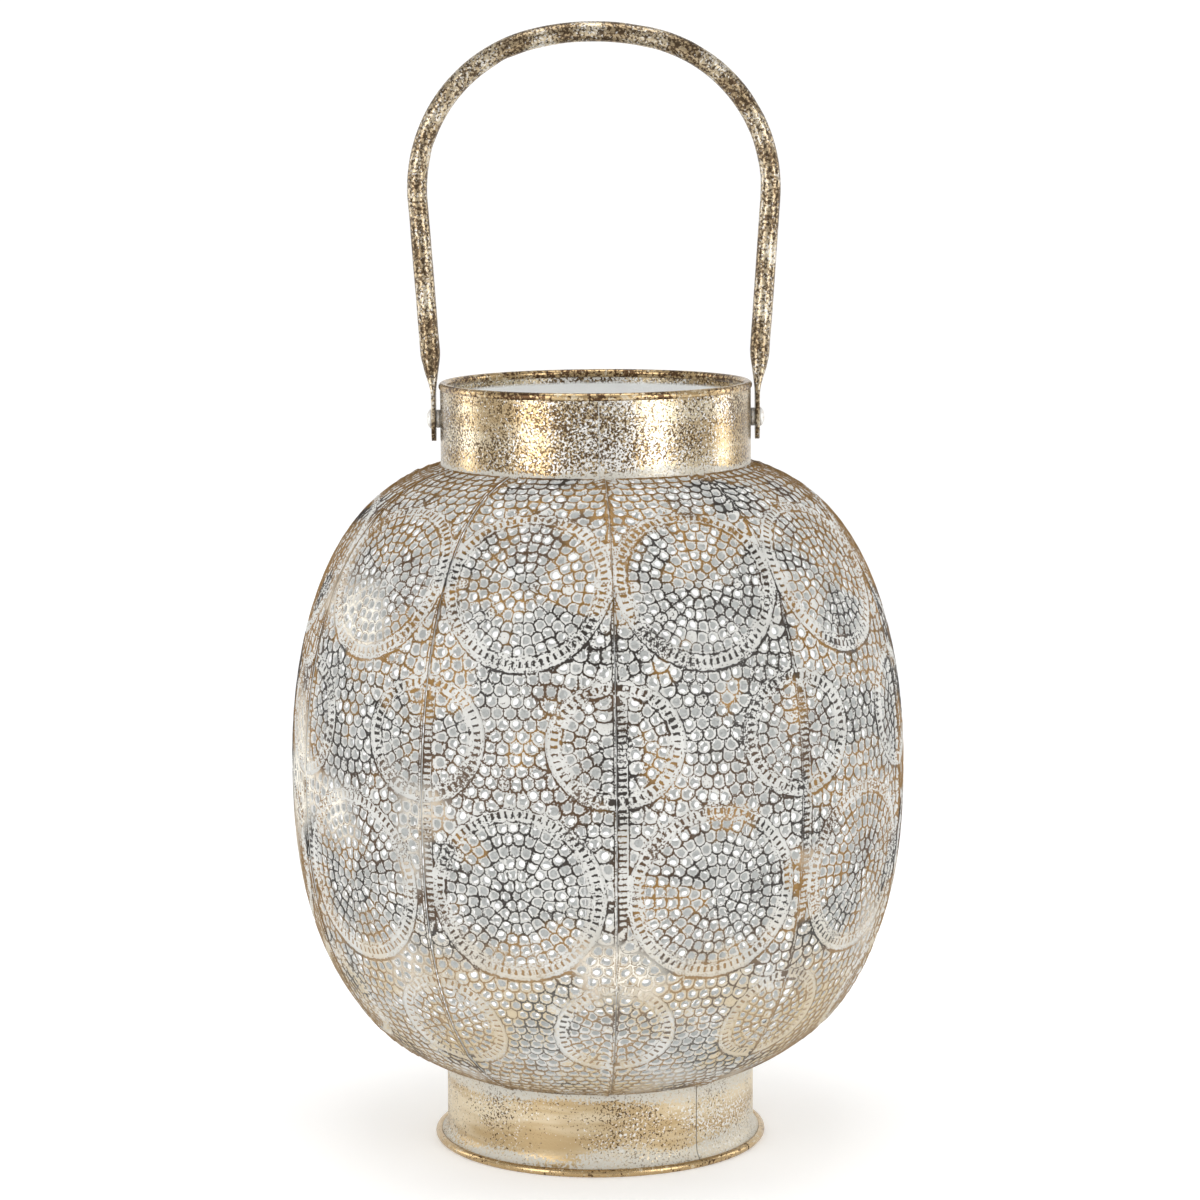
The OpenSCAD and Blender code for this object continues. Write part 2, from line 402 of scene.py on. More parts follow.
def gold_leaf(name, low_edge, high_edge, edges, speckle, brown, matt, dark_reflection_half):
    """Gilded strip between two heights.

    edges is how far the paint creeps in from the lower and the upper edge, as shares of the
    height. speckle and brown are how much of the middle is flecked with white and with brown.
    matt is the roughness of clean gold. The last argument is half the width of the front-middle
    patch with more white and brown flecks, partly flecks and partly a painted dark reflection;
    below zero there is no such patch."""
    paint = Paint(name)
    height = paint.height()
    span = high_edge - low_edge
    low_paint = 1 - height.above(low_edge, low_edge + edges[0] * span)
    high_paint = height.above(high_edge - edges[1] * span, high_edge)
    bead = height.above(*(high_edge - depth for depth in BEAD_LINE))
    inside = (1 - paint.attribute("outside")) * (1 - bead)
    patches = paint.noise(0.034, 2)
    streaks = paint.noise(0.020, 3, 0.6, (0.3, 0.3, 2.0))
    fine = paint.noise(0.0009, 2, 0.6)
    other = paint.noise(0.0008, 2, 0.6)
    ragged = patches.swing(1.8) + streaks.swing(1.6) + fine.swing(2.0)
    edge = low_paint.largest(high_paint) + ragged
    gold_dust = (other + streaks.swing(0.8) + patches.swing(0.4)).above(0.52, 0.62)
    painted = edge.above(0.46, 0.72) * (1 - gold_dust * 0.6)
    off_middle = paint.across() + patches.swing(0.03)
    # painted reflection: the front-middle patch gets more white and brown flecks, standing partly for
    # the dark reflection there
    front = 1 - off_middle.above(dark_reflection_half - PATCH_FADE, dark_reflection_half + PATCH_FADE)
    white = (fine + patches.swing(0.5) + front * 0.10 + speckle).above(0.56, 0.63)
    dark = (other + paint.noise(0.024, 2).swing(0.5) + front * 0.05 + brown).above(0.55, 0.60)
    leaf = paint.mix(streaks.above(0.38, 0.62), LEAF, LEAF_PALE)
    colour = paint.mix(dark * 0.92, leaf, LEAF_DARK)
    colour = paint.mix(white, colour, SILVERED)
    colour = paint.mix(painted, colour, OLD_WHITE)
    colour = paint.mix(inside, colour, INSIDE_PAINT)
    metal = (1 - painted * 0.9) * (1 - white * 0.35) * (1 - inside)
    return paint.finish(
        Base_Color=colour,
        Metallic=metal,
        Roughness=painted * 0.25 + fine * 0.16 + matt,
        Normal=paint.bump(patches * 2 + fine * 0.5 - other * 0.5, 0.0003, 0.4))


# %% [markdown]
# ## Bar, bead, rivet and plain paint
# The handle is gilded over a dark brown ground with silvery flecks where it was wiped. The
# beads are the most polished, because hands and tables rub them. The rivets are bright, and
# the floor plate only has plain off-white paint.

# %% Paint the bar, the beads and the rest
BAR_GOLD = (0.36, 0.27, 0.16)
BAR_PALE = (0.54, 0.45, 0.31)
BAR_GROUND = (0.060, 0.036, 0.020)
BEAD_GOLD = (0.50, 0.36, 0.19)
BEAD_BROWN = (0.10, 0.055, 0.027)
RIVET_BRIGHT = (0.80, 0.79, 0.76)
RIVET_DULL = (0.55, 0.48, 0.36)
PLATE_LIGHT = (0.66, 0.67, 0.66)
PLATE_SHADE = (0.58, 0.59, 0.575)


def antique_bar():
    paint = Paint("antique_bar")
    patches = paint.noise(0.016, 3, 0.6)
    fine = paint.noise(0.0009, 2, 0.6)
    silver = (fine + patches.swing(0.7)).above(0.58, 0.66)
    dark = (paint.noise(0.0011, 2, 0.6) + patches.swing(-0.4)).above(0.455, 0.54)
    leaf = paint.mix(patches.above(0.40, 0.60), BAR_GOLD, BAR_PALE)
    colour = paint.mix(dark * 0.9, leaf, BAR_GROUND)
    colour = paint.mix(silver * 0.7, colour, SILVERED)
    return paint.finish(
        Base_Color=colour, Metallic=0.95 - silver * 0.4,
        Roughness=fine * 0.2 + 0.20,
        Normal=paint.bump(fine + patches, 0.00025, 0.5))


def polished_bead(name, tarnish):
    """Gilded wire. tarnish is how much of it has gone brown, from about -0.1 to 0.1."""
    paint = Paint(name)
    fine = paint.noise(0.0012, 2, 0.6)
    patches = paint.noise(0.018, 2)
    dark = (fine + patches.swing(0.6) + tarnish).above(0.48, 0.58)
    pale = (paint.noise(0.0018, 2, 0.6) + patches.swing(-0.4)).above(0.58, 0.66)
    colour = paint.mix(dark, BEAD_GOLD, BEAD_BROWN)
    colour = paint.mix(pale * 0.8, colour, LEAF_PALE)
    return paint.finish(
        Base_Color=colour, Metallic=0.95 - pale * 0.3, Roughness=fine * 0.2 + 0.16,
        Normal=paint.bump(fine, 0.00015, 0.4))


def rivet_metal():
    paint = Paint("rivet_metal")
    fine = paint.noise(0.0012, 3, 0.6)
    dull = fine.above(0.55, 0.68)
    return paint.finish(
        Base_Color=paint.mix(dull, RIVET_BRIGHT, RIVET_DULL),
        Metallic=0.55 + dull * 0.3, Roughness=fine * 0.3 + 0.28,
        Normal=paint.bump(fine, 0.0002, 0.4))


def inner_paint():
    paint = Paint("inner_paint")
    cloud = paint.noise(0.02, 3)
    return paint.finish(
        Base_Color=paint.mix(cloud.above(0.4, 0.7), PLATE_LIGHT, PLATE_SHADE),
        Roughness=cloud * 0.15 + 0.5,
        Normal=paint.bump(paint.noise(0.0014, 2), 0.0001, 0.4))


def floor_paint():
    paint = Paint("floor_paint")
    tone = paint.noise(0.4, 2).above(0.3, 0.7)
    return paint.finish(
        Base_Color=paint.mix(tone, (0.93, 0.93, 0.93), (0.90, 0.90, 0.90)), Roughness=0.7,
        Emission_Color=(1.0, 1.0, 1.0), Emission_Strength=0.22)


# %% [markdown]
# ## The floor
# The floor is a broad sheet that curves up behind the lantern, so that no edge shows.

# %% Lay the floor


def link_piece(name, mesh, material):
    """Checks a mesh, makes it smooth, paints it and puts it in the scene."""
    mesh.validate()
    mesh.polygons.foreach_set("use_smooth", [True] * len(mesh.polygons))
    mesh.materials.append(material)
    piece = bpy.data.objects.new(name, mesh)
    bpy.context.scene.collection.objects.link(piece)
    return piece


def mesh_piece(name, points, faces, material):
    mesh = bpy.data.meshes.new(name)
    mesh.from_pydata([tuple(p) for p in points], [], faces)
    return link_piece(name, mesh, material)


def sweep_floor():
    front, back, rise, bend, half = -3.0, 2.2, 2.0, 0.9, 4.0
    profile = [(front, 0), (back - bend, 0)]
    profile += [(back - bend + bend * math.sin(a), bend - bend * math.cos(a))
                for a in np.linspace(0, math.pi / 2, 16)[1:]]
    profile += [(back, rise)]
    points = [(x, y, z) for y, z in profile for x in (-half, half)]
    faces = [(2 * i, 2 * i + 1, 2 * i + 3, 2 * i + 2) for i in range(len(profile) - 1)]
    return mesh_piece("floor", points, faces, floor_paint())


floor = sweep_floor()
print("floor", [round(v, 1) for v in floor.dimensions], "m")

# %% [markdown]
# ## The stamped pattern
# One gore carries a large medallion high up and another below the belly. Smaller medallions
# sit on the seams, half on each neighbour. A medallion is a smooth hoop, a ring of short
# radial ticks, and rows of scale-shaped cells inside. More cells fill the rest, like the
# scales of a fish. The pattern lives on the flat sheet: x is the length round the shell from
# the gore's middle and s is the length along the sheet from the foot.

# %% Set out the medallions
CELL = 4.6 * MM
SMALL_CELL = 4.2 * MM
HOOP_W = 1.2 * MM
TICK_W = 2.7 * MM
STEP_W = 0.4 * MM
RIM_W = HOOP_W + TICK_W + STEP_W
SHELL_HEIGHT = NECK_Z - FOOT_Z


def half_width(s):
    """Half the width of a gore at length s along the sheet."""
    return radius_at(s) * HALF_GORE


class Medallion:
    """A round ornament. side is 0 on the gore's middle line, -1 or 1 on its seams."""

    def __init__(self, height_share, radius, side, wide=1.0):
        self.s = sheet_length_at(FOOT_Z + height_share * SHELL_HEIGHT)
        self.radius = radius
        self.side = side
        self.wide = wide

    def local(self, x, s):
        return (x - self.side * half_width(s)) / self.wide, s - self.s

    def sheet(self, x, y):
        s = y + self.s
        return x * self.wide + self.side * half_width(s), s

    def distance(self, x, s):
        return np.hypot(*self.local(x, s))


MEDALLIONS = [Medallion(0.852, 30.6 * MM, 0), Medallion(0.379, 32.0 * MM, 0)]
for side in (-1, 1):
    MEDALLIONS.append(Medallion(0.617, 22.6 * MM, side, 1.09))
    MEDALLIONS.append(Medallion(0.150, 21.6 * MM, side))
print(len(MEDALLIONS), "medallions touch each gore")

# %% [markdown]
# ## Cells between cells
# Each cell is the ground that is nearer to its own seed than to any other: a Voronoi cell.
# Seeds set in rows give hexagons, seeds set in rings give the concentric rows of a medallion,
# and both close up neatly at an edge when every seed near the edge gets a mirror image behind
# it. Moving each seed to the middle of its cell once or twice evens out the sizes.

# %% Plain strips beside the seams
EDGE_PLAIN = 0.9 * MM
TICK_COLUMN = 3.4 * MM
COLUMN_LOW = sheet_length_at(105 * MM)
COLUMN_HIGH = sheet_length_at(186 * MM)
VEE_LENGTH = 14 * MM
VEE_WIDTH = 4.4 * MM
SMALL_BELOW = sheet_length_at(62 * MM)
FULL_ABOVE = sheet_length_at(98 * MM)


def ramp(value, low, high):
    """0 at low, 1 at high, smooth between."""
    t = np.clip((value - low) / (high - low), 0, 1)
    return t * t * (3 - 2 * t)


def seam_margin(s, side):
    """Width of the plain strip beside a seam. Only left edges have the column of ticks."""
    vee = VEE_WIDTH * np.clip((s - SHEET_LENGTH + VEE_LENGTH) / VEE_LENGTH, 0, 1)
    if side > 0:
        return EDGE_PLAIN + vee
    soft = 3 * MM
    column = ramp(s, COLUMN_LOW - soft, COLUMN_LOW) * (1 - ramp(s, COLUMN_HIGH, COLUMN_HIGH + soft))
    return EDGE_PLAIN + vee + TICK_COLUMN * column


def cell_size_at(s):
    """Width of the field's cells, which get smaller towards the foot."""
    return SMALL_CELL + (CELL - SMALL_CELL) * ramp(s, SMALL_BELOW, FULL_ABOVE)


print("tick column", round((COLUMN_HIGH - COLUMN_LOW) / MM), "mm long")

# %% Cut one cell


def cut_cell(seed, others):
    """The polygon of points nearer to seed than to the others, nearest others first."""
    size = 2.2 * CELL
    square = ((-1, -1), (1, -1), (1, 1), (-1, 1))
    polygon = [(seed[0] + x * size, seed[1] + y * size) for x, y in square]
    for other in others:
        mx, my = (seed[0] + other[0]) / 2, (seed[1] + other[1]) / 2
        nx, ny = other[0] - seed[0], other[1] - seed[1]
        sides = [(x - mx) * nx + (y - my) * ny for x, y in polygon]
        if max(sides) <= 0:
            continue
        cut = []
        for i, (here, side) in enumerate(zip(polygon, sides)):
            before, side_before = polygon[i - 1], sides[i - 1]
            if (side > 0) != (side_before > 0):
                t = side_before / (side_before - side)
                cut.append(tuple(b + t * (h - b) for b, h in zip(before, here)))
            if side <= 0:
                cut.append(here)
        polygon = cut
        if len(polygon) < 3:
            return []
    return polygon


def middle_of(polygon):
    """Centre of area of a polygon."""
    p = np.array(polygon)
    q = np.roll(p, -1, axis=0)
    cross = p[:, 0] * q[:, 1] - q[:, 0] * p[:, 1]
    area = cross.sum() / 2
    if abs(area) < 1e-12:
        return p.mean(0)
    return ((p + q) * cross[:, None]).sum(0) / (6 * area)


def cells_of(seeds, mirror, rounds):
    """Voronoi cells of the seeds, closed at the zone's edge by mirror(seeds)."""
    for turn in range(rounds + 1):
        everyone = np.vstack([seeds, mirror(seeds)])
        polygons = []
        for seed in seeds:
            gap = np.hypot(*(everyone - seed).T)
            near = np.argsort(gap)[1:19]
            polygons.append(cut_cell(seed, everyone[near[gap[near] > 1e-7]]))
        if turn < rounds:
            seeds = np.array([middle_of(p) if p else s for p, s in zip(polygons, seeds)])
    return [p for p in polygons if p]


around = [(x * CELL, y * CELL) for x, y in ((1, 0), (0, 1), (-1, 0), (0, -1))]
print(len(cut_cell((0, 0), around)), "corners in a cell with four neighbours")

# %% Mirror the seeds and set them in rings and rows
RING_CELL = 0.93
RING_PITCH = 0.98
HALF_ROW = 0.44
JITTER = 0.10


def mirror_in_circle(seeds, medallion, radius, reach):
    """Images of the seeds that lie within reach of a circle, on its other side."""
    x, y = medallion.local(seeds[:, 0], seeds[:, 1])
    d = np.hypot(x, y)
    near = (abs(d - radius) < reach) & (d > 1e-6)
    k = (2 * radius - d[near]) / d[near]
    return np.stack(medallion.sheet(x[near] * k, y[near] * k), 1)


def mirror_in_seams(seeds, reach):
    """Images of the seeds near the gore's two long edges."""
    room = half_width(seeds[:, 1])
    images = []
    for side in (-1, 1):
        line = side * (room - seam_margin(seeds[:, 1], side))
        near = abs(seeds[:, 0] - line) < reach
        images.append(np.stack([2 * line[near] - seeds[near, 0], seeds[near, 1]], 1))
    return np.vstack(images)


def medallion_cells(medallion):
    """Cells in concentric rings inside the medallion's ring of ticks."""
    rng = random.Random(round(medallion.radius / MM))
    size = RING_CELL * cell_size_at(medallion.s)
    inner = medallion.radius - RIM_W - 0.2 * MM
    rows = round(inner / size - 0.5)
    row = inner / (rows + 0.5)
    seeds = [(0.0, 0.0)]
    for k in range(1, rows + 1):
        r = k * row
        count = max(6, round(2 * math.pi * r / (RING_PITCH * size)))
        if medallion.side:
            count += count % 2
        start = rng.uniform(0, 1) if medallion.side == 0 else 0.25 + 0.5 * (k % 2)
        for i in range(count):
            a = 2 * math.pi * (i + start) / count
            off = 0.05 * size * rng.uniform(-1, 1) if medallion.side == 0 else 0
            seeds.append(((r + off) * math.cos(a), (r + off) * math.sin(a)))
    x, s = medallion.sheet(*np.array(seeds).T)
    inside = (s > 2 * MM) & (s < SHEET_LENGTH - 2 * MM)
    for side in (-1, 1):
        inside &= side * x < half_width(s) - seam_margin(s, side) - 0.3 * size
    seeds = np.stack([x, s], 1)[inside]

    def mirror(points):
        return np.vstack([mirror_in_circle(points, medallion, inner, 1.3 * size),
                          mirror_in_seams(points, 1.3 * size)])

    return cells_of(seeds, mirror, 0)


def field_cells():
    """Cells in rows on all the ground outside the medallions."""
    rng = random.Random(7)
    low, high = 0.6 * MM, SHEET_LENGTH - 0.4 * MM
    seeds = []
    s = low
    odd = 0
    while s < high - 0.75 * CELL:
        size = cell_size_at(s)
        s += HALF_ROW * size
        left, right = (half_width(s) - seam_margin(s, side) for side in (-1, 1))
        across = left + right
        count = max(3, round(across / size))
        for j in range(count):
            place = (-left + (j + 0.25 + 0.5 * odd) * across / count, s)
            seeds.append([v + rng.uniform(-1, 1) * JITTER * size for v in place])
        s += HALF_ROW * size
        odd = 1 - odd
    seeds = np.array(seeds)
    for medallion in MEDALLIONS:
        room = 0.36 * cell_size_at(seeds[:, 1])
        seeds = seeds[medallion.distance(*seeds.T) > medallion.radius + room]

    def mirror(points):
        images = [mirror_in_circle(points, m, m.radius + 0.3 * MM, 1.3 * CELL) for m in MEDALLIONS]
        images.append(mirror_in_seams(points, 1.2 * CELL))
        for line in (low, high):
            near = abs(points[:, 1] - line) < 1.2 * CELL
            images.append(np.stack([points[near, 0], 2 * line - points[near, 1]], 1))
        return np.vstack(images)

    return cells_of(seeds, mirror, 2)


def lean_in_field(*_):
    return 0.0, -1.0


def lean_in(medallion):
    def lean(x, s):
        dx, dy = medallion.local(x, s)
        d = math.hypot(dx, dy) + 1e-9
        return -dx / d, -dy / d
    return lean


CELLS = [(polygon, lean_in_field) for polygon in field_cells()]
for medallion in MEDALLIONS:
    CELLS += [(polygon, lean_in(medallion)) for polygon in medallion_cells(medallion)]
print(len(CELLS), "cells on one gore")

# %% [markdown]
# ## From cells to sheet metal
# The line between two cells is a raised ridge, and each ridge sags towards the rounded end
# of the scale, so that straight Voronoi edges become scallops. The hole sits against the
# rounded end and leaves a flat margin behind it. All these lines go into one constrained
# triangulation, because it joins rings, ridges and holes with no special cases. Each corner
# carries its height above the sheet, how far it is worn and how grimy it is.

# %% Gather corners and lines
RIDGE_H = 0.55 * MM
RIDGE_FOOT = 0.48 * MM
HOOP_H = 0.45 * MM
TICK_H = 0.55 * MM
TICK_PITCH = 2.6 * MM
# darker in the gaps between the ticks
GROOVE_DARKNESS = 1.5
SEAM_STEP = 1.1 * MM
# painted shade: high relief on the seam edges draws a dark line, the left one for the shade under the
# neighbour's lap, the right one partly wear and partly painted shade
LEFT_SEAM_SHADE = 0.95
RIGHT_SEAM_WEAR_AND_SHADE = 0.7
DISH = 0.06 * MM
STEP = 0.95 * MM
SHEET_T = 0.36 * MM
HOLE_SIDES = 12
HOLE_LEAST, HOLE_MOST = 0.42 * MM, 0.37 * CELL
HUB_SHIFT = 0.09 * CELL
LEAST_ROOM = 0.9 * MM
BLANK_BELOW = 0.6 * MM
BLANK_SHARE = 0.03
SAG = 0.20
PALE_IN_RIM = (-1.15 * MM, 0.10 * MM)
PALE_ROUND_HOOP = (-0.10 * MM, 0.55 * MM)


class Drawing:
    """Corners, what each of them carries, and lines on the flat sheet."""

    def __init__(self):
        self.points = []
        self.marks = []
        self.lines = []

    def add(self, x, s, height, hole=-1, wear=None, grime=0.0):
        """A corner, kept in millimetres. If wear isn't given, it follows the corner's height."""
        wear = height / RIDGE_H if wear is None else wear
        self.points.append((x / MM, s / MM))
        self.marks.append({"height": height, "wear": wear, "grime": grime, "hole": hole})
        return len(self.points) - 1

    def path(self, places, height, closed=False, hole=-1, wear=None, grime=0.0):
        made = [self.add(x, s, height, hole, wear, grime) for x, s in places]
        self.lines += list(zip(made[:-1], made[1:]))
        if closed:
            self.lines.append((made[-1], made[0]))


print("ridges", RIDGE_H / MM, "mm high on sheet", SHEET_T / MM, "mm thick")

# %% Draw one scale


def sagging(a, b, lean):
    """The ridge from a to b, bent towards the scales' rounded ends. Both cells get the same."""
    if (round(a[0], 7), round(a[1], 7)) > (round(b[0], 7), round(b[1], 7)):
        return sagging(b, a, lean)[::-1]
    length = math.dist(a, b)
    steps = max(1, round(length / STEP))
    mx, ms = (a[0] + b[0]) / 2, (a[1] + b[1]) / 2
    dx, dy = lean(mx, ms)
    if length < 1e-9:
        return [a, b]
    facing = abs(dx * -(b[1] - a[1]) + dy * (b[0] - a[0])) / length
    sag = SAG * length * facing
    return [(a[0] + t * (b[0] - a[0]) + 4 * t * (1 - t) * sag * dx,
             a[1] + t * (b[1] - a[1]) + 4 * t * (1 - t) * sag * dy)
            for t in (i / steps for i in range(steps + 1))]


def reach_to(outline, centre, angle):
    """Distance from centre to the outline in one direction."""
    dx, dy = math.cos(angle), math.sin(angle)
    best = 3 * CELL
    for i, (x2, y2) in enumerate(outline):
        x1, y1 = outline[i - 1]
        ex, ey = x2 - x1, y2 - y1
        det = dx * ey - dy * ex
        if abs(det) < 1e-15:
            continue
        t = ((x1 - centre[0]) * ey - (y1 - centre[1]) * ex) / det
        u = ((x1 - centre[0]) * dy - (y1 - centre[1]) * dx) / det
        if t > 0 and -1e-9 <= u <= 1 + 1e-9:
            best = min(best, t)
    return best


def polar(centre, r, a):
    return centre[0] + r * math.cos(a), centre[1] + r * math.sin(a)


def draw_cell(drawing, polygon, lean, number, rng):
    """One scale: its ridge, the dished ground inside it and, as a rule, its hole."""
    outline = []
    for a, b in zip(polygon, polygon[1:] + polygon[:1]):
        outline += sagging(a, b, lean)[:-1]
    drawing.path(outline, RIDGE_H, closed=True)
    centre = middle_of(polygon)
    dx, dy = lean(*centre)
    toward = math.atan2(dy, dx)
    hub = (centre[0] + HUB_SHIFT * dx, centre[1] + HUB_SHIFT * dy)
    angles = [toward + 2 * math.pi * i / HOLE_SIDES for i in range(HOLE_SIDES)]
    reach = [reach_to(outline, hub, a) for a in angles]
    if min(reach) < LEAST_ROOM:
        if min(reach_to(outline, centre, a) for a in angles) > 0.2 * MM:
            drawing.add(*centre, DISH, wear=0.0)
        return
    blank = rng.random() < BLANK_SHARE
    share = rng.uniform(0.86, 1.0)
    margins = [(0.75 - 0.25 * math.cos(a - toward)) * MM for a in angles]
    roomy = [share * (r - margin) for r, margin in zip(reach, margins)]
    size = [min(max(r, HOLE_LEAST), HOLE_MOST) for r in roomy]
    size = [0.5 * r + 0.25 * (size[i - 1] + size[(i + 1) % HOLE_SIDES]) for i, r in enumerate(size)]
    for a, r, h in zip(angles, reach, size):
        foot = max(r - RIDGE_FOOT, (r + h) / 2)
        drawing.add(*polar(hub, foot, a), DISH)
    if blank or sum(size) / HOLE_SIDES < BLANK_BELOW:
        drawing.add(*hub, 2 * DISH)
        return
    hole = [polar(hub, r, a) for a, r in zip(angles, size)]
    drawing.path(hole, 0.0, closed=True, hole=number)


sample = Drawing()
draw_cell(sample, *CELLS[0], 0, random.Random(0))
print(len(sample.points), "corners in the first scale")

# %% [markdown]
# ## Hoops, ticks and seams
# A medallion's hoop and ticks are drawn as circles and short bars over the same sheet. The
# ticks are raised and rubbed pale, and the gaps between them are dark. The same bars make the
# column of ticks beside the left seam. Whatever runs past the gore's edge is left out.

# %% Draw hoops and ticks


def inside_gore(x, s, edge=0.45 * MM):
    return abs(x) < half_width(s) - edge and 0.5 * MM < s < SHEET_LENGTH - 0.5 * MM


def draw_hoop(drawing, medallion, radius, height):
    """One circle of a medallion, where it lies on this gore."""
    count = round(2 * math.pi * radius / (1.25 * MM))
    first = before = None
    for i in range(count + 1):
        x, s = medallion.sheet(*polar((0, 0), radius, 2 * math.pi * i / count))
        if not inside_gore(x, s):
            before = None
            continue
        if i == count and None not in (first, before):
            here = first
        else:
            here = drawing.add(x, s, height, wear=0.12 * height / HOOP_H, grime=0.25)
        if i == 0:
            first = here
        if before is not None:
            drawing.lines.append((before, here))
        before = here


def draw_tick(drawing, a, b, half):
    """A raised bar from a to b, with its foot round it. Rubbing leaves the top of it pale."""
    length = math.dist(a, b)
    ux, uy = (b[0] - a[0]) / length, (b[1] - a[1]) / length

    def beside(t, off):
        return a[0] + t * length * ux - off * uy, a[1] + t * length * uy + off * ux

    drawing.path([beside(t, 0.0) for t in (0.12, 0.5, 0.88)], TICK_H, wear=0.0)
    for t in (0.04, 0.5, 0.96):
        for side in (-half, half):
            drawing.add(*beside(t, side), 0.0, wear=0.1, grime=0.3)


def draw_groove(drawing, a, b):
    """The dark gap between two ticks."""
    middle = ((a[0] + b[0]) / 2, (a[1] + b[1]) / 2)
    drawing.path([a, middle, b], 0.0, wear=GROOVE_DARKNESS, grime=0.5)


def draw_bar(drawing, i, ends, half):
    """Place i in a row: a tick if i is odd and the groove between two ticks if it is even."""
    if not all(inside_gore(*p, EDGE_PLAIN) for p in ends):
        return
    if i % 2:
        draw_tick(drawing, *ends, half)
    else:
        draw_groove(drawing, *ends)


def draw_medallion_rim(drawing, medallion):
    """The hoop, the ring of ticks inside it and the step down to the scales."""
    r = medallion.radius
    ticks_from = r - HOOP_W - TICK_W
    for radius, height in ((r, 0.0), (r - 0.35 * HOOP_W, HOOP_H), (r - HOOP_W, 0.0),
                           (ticks_from, 0.0), (ticks_from - STEP_W, 0.0)):
        draw_hoop(drawing, medallion, radius, height)
    mid = r - HOOP_W - TICK_W / 2
    count = 2 * round(math.pi * mid / TICK_PITCH)
    for i in range(2 * count):
        half = (0.40 if i % 2 else 0.34) * TICK_W
        a = math.pi * (i + 0.5) / count
        ends = [medallion.sheet(*polar((0, 0), q, a)) for q in (mid - half, mid + half)]
        draw_bar(drawing, i, ends, 0.58 * MM)


def on_rim(medallion, x, s):
    """Whether a point lies on a medallion's hoop or ticks."""
    d = medallion.distance(x, s)
    return medallion.radius - RIM_W - 0.3 * MM < d < medallion.radius + 0.3 * MM


def draw_seam_feet(drawing):
    """Flat points beside the seams, where the ridges of the outermost cells come down."""
    for side in (-1, 1):
        for s in np.arange(0.9 * MM, SHEET_LENGTH - 0.9 * MM, 0.9 * MM):
            margin = float(seam_margin(s, side))
            x = side * (half_width(s) - margin + min(0.45 * MM, 0.45 * margin))
            if not any(on_rim(m, x, s) for m in MEDALLIONS):
                drawing.add(x, s, 0.0)


def draw_seam_ticks(drawing):
    """The column of ticks beside the left seam and the two slanting rows under the neck."""
    from_seam, length, rise = 1.05 * MM, 2.3 * MM, 0.15 * MM
    for i in range(int((COLUMN_HIGH - COLUMN_LOW) / SEAM_STEP)):
        s = COLUMN_LOW + (i + 0.5) * SEAM_STEP
        left = -half_width(s) + from_seam
        ends = ((left, s), (left + length, s + rise))
        if not any(on_rim(m, *end) for m in MEDALLIONS for end in ends):
            draw_bar(drawing, i, ends, 0.45 * MM)
    off_scales, length, rise = 0.3 * MM, 1.7 * MM, 0.5 * MM
    for side in (-1, 1):
        for i in range(int(VEE_LENGTH / SEAM_STEP)):
            s = SHEET_LENGTH - VEE_LENGTH + (i + 0.5) * SEAM_STEP
            x = side * (half_width(s) - seam_margin(s, side) + off_scales)
            draw_bar(drawing, i, ((x, s), (x + side * length, s + rise)), 0.40 * MM)


sample = Drawing()
draw_medallion_rim(sample, MEDALLIONS[0])
print(len(sample.points), "corners in the hoop and ticks of a medallion")

# %% Fill the whole drawing with triangles


def draw_gore():
    """The whole drawing of one gore: its edge, cells, medallions and the seam's tick column."""
    drawing = Drawing()
    rng = random.Random(11)
    rows = np.linspace(0, SHEET_LENGTH, round(SHEET_LENGTH / SEAM_STEP))
    edge = [(half_width(s) - 0.12 * MM, s) for s in rows]
    top = [(x, SHEET_LENGTH) for x in np.linspace(edge[-1][0], -edge[-1][0], 32)[1:-1]]
    bottom = [(x, 0.0) for x in np.linspace(-edge[0][0], edge[0][0], 32)[1:-1]]
    drawing.path(edge + top + [(-x, s) for x, s in edge[::-1]] + bottom, 0.0, closed=True)
    # the seam edges get high relief, which paints the dark shade line along each seam
    for i, mark in enumerate(drawing.marks):
        x = drawing.points[i][0]
        mark["wear"] = LEFT_SEAM_SHADE if x < 0 and i > len(edge) + len(top) else 0.0
        if x > 0 and i < len(edge):
            mark["wear"] = RIGHT_SEAM_WEAR_AND_SHADE
    for number, (polygon, lean) in enumerate(CELLS):
        draw_cell(drawing, polygon, lean, number, rng)
    # paint gathers along the hoops, so the ridges that run into them stay pale
    for (x, s), mark in zip(drawing.points, drawing.marks):
        for medallion in MEDALLIONS:
            d = medallion.distance(x * MM, s * MM) - medallion.radius
            if PALE_IN_RIM[0] < d + RIM_W < PALE_IN_RIM[1]:
                mark["wear"] *= 0.50
            elif PALE_ROUND_HOOP[0] < d < PALE_ROUND_HOOP[1]:
                mark["wear"] *= 0.70
    for medallion in MEDALLIONS:
        draw_medallion_rim(drawing, medallion)
    draw_seam_feet(drawing)
    draw_seam_ticks(drawing)
    return drawing


def triangulate(drawing):
    """The sheet's corners, their heights, wear and grime, and its triangles without holes."""
    points, _, faces, origin, _, _ = geometry.delaunay_2d_cdt(
        [Vector(p) for p in drawing.points], drawing.lines, [], 0, 1e-4)

    def highest(kind, missing):
        """For each corner, the highest mark of the drawn corners that fell together in it."""
        return np.array([max((drawing.marks[i][kind] for i in o), default=missing) for o in origin])

    triangles = np.array([f for f in faces if len(f) == 3])
    hole = highest("hole", -1)[triangles]
    in_hole = (hole[:, 0] >= 0) & (hole == hole[:, :1]).all(1)
    flat = np.array([(p[0], p[1]) for p in points]) * MM
    return (flat, highest("height", 0.3 * MM), highest("wear", 0.5), highest("grime", 0.0),
            triangles[~in_hole])


FLAT, HEIGHTS, WEAR_AND_SEAM_SHADE, GRIME, TRIANGLES = triangulate(draw_gore())
print(len(FLAT), "corners and", len(TRIANGLES), "triangles on one face of a gore")
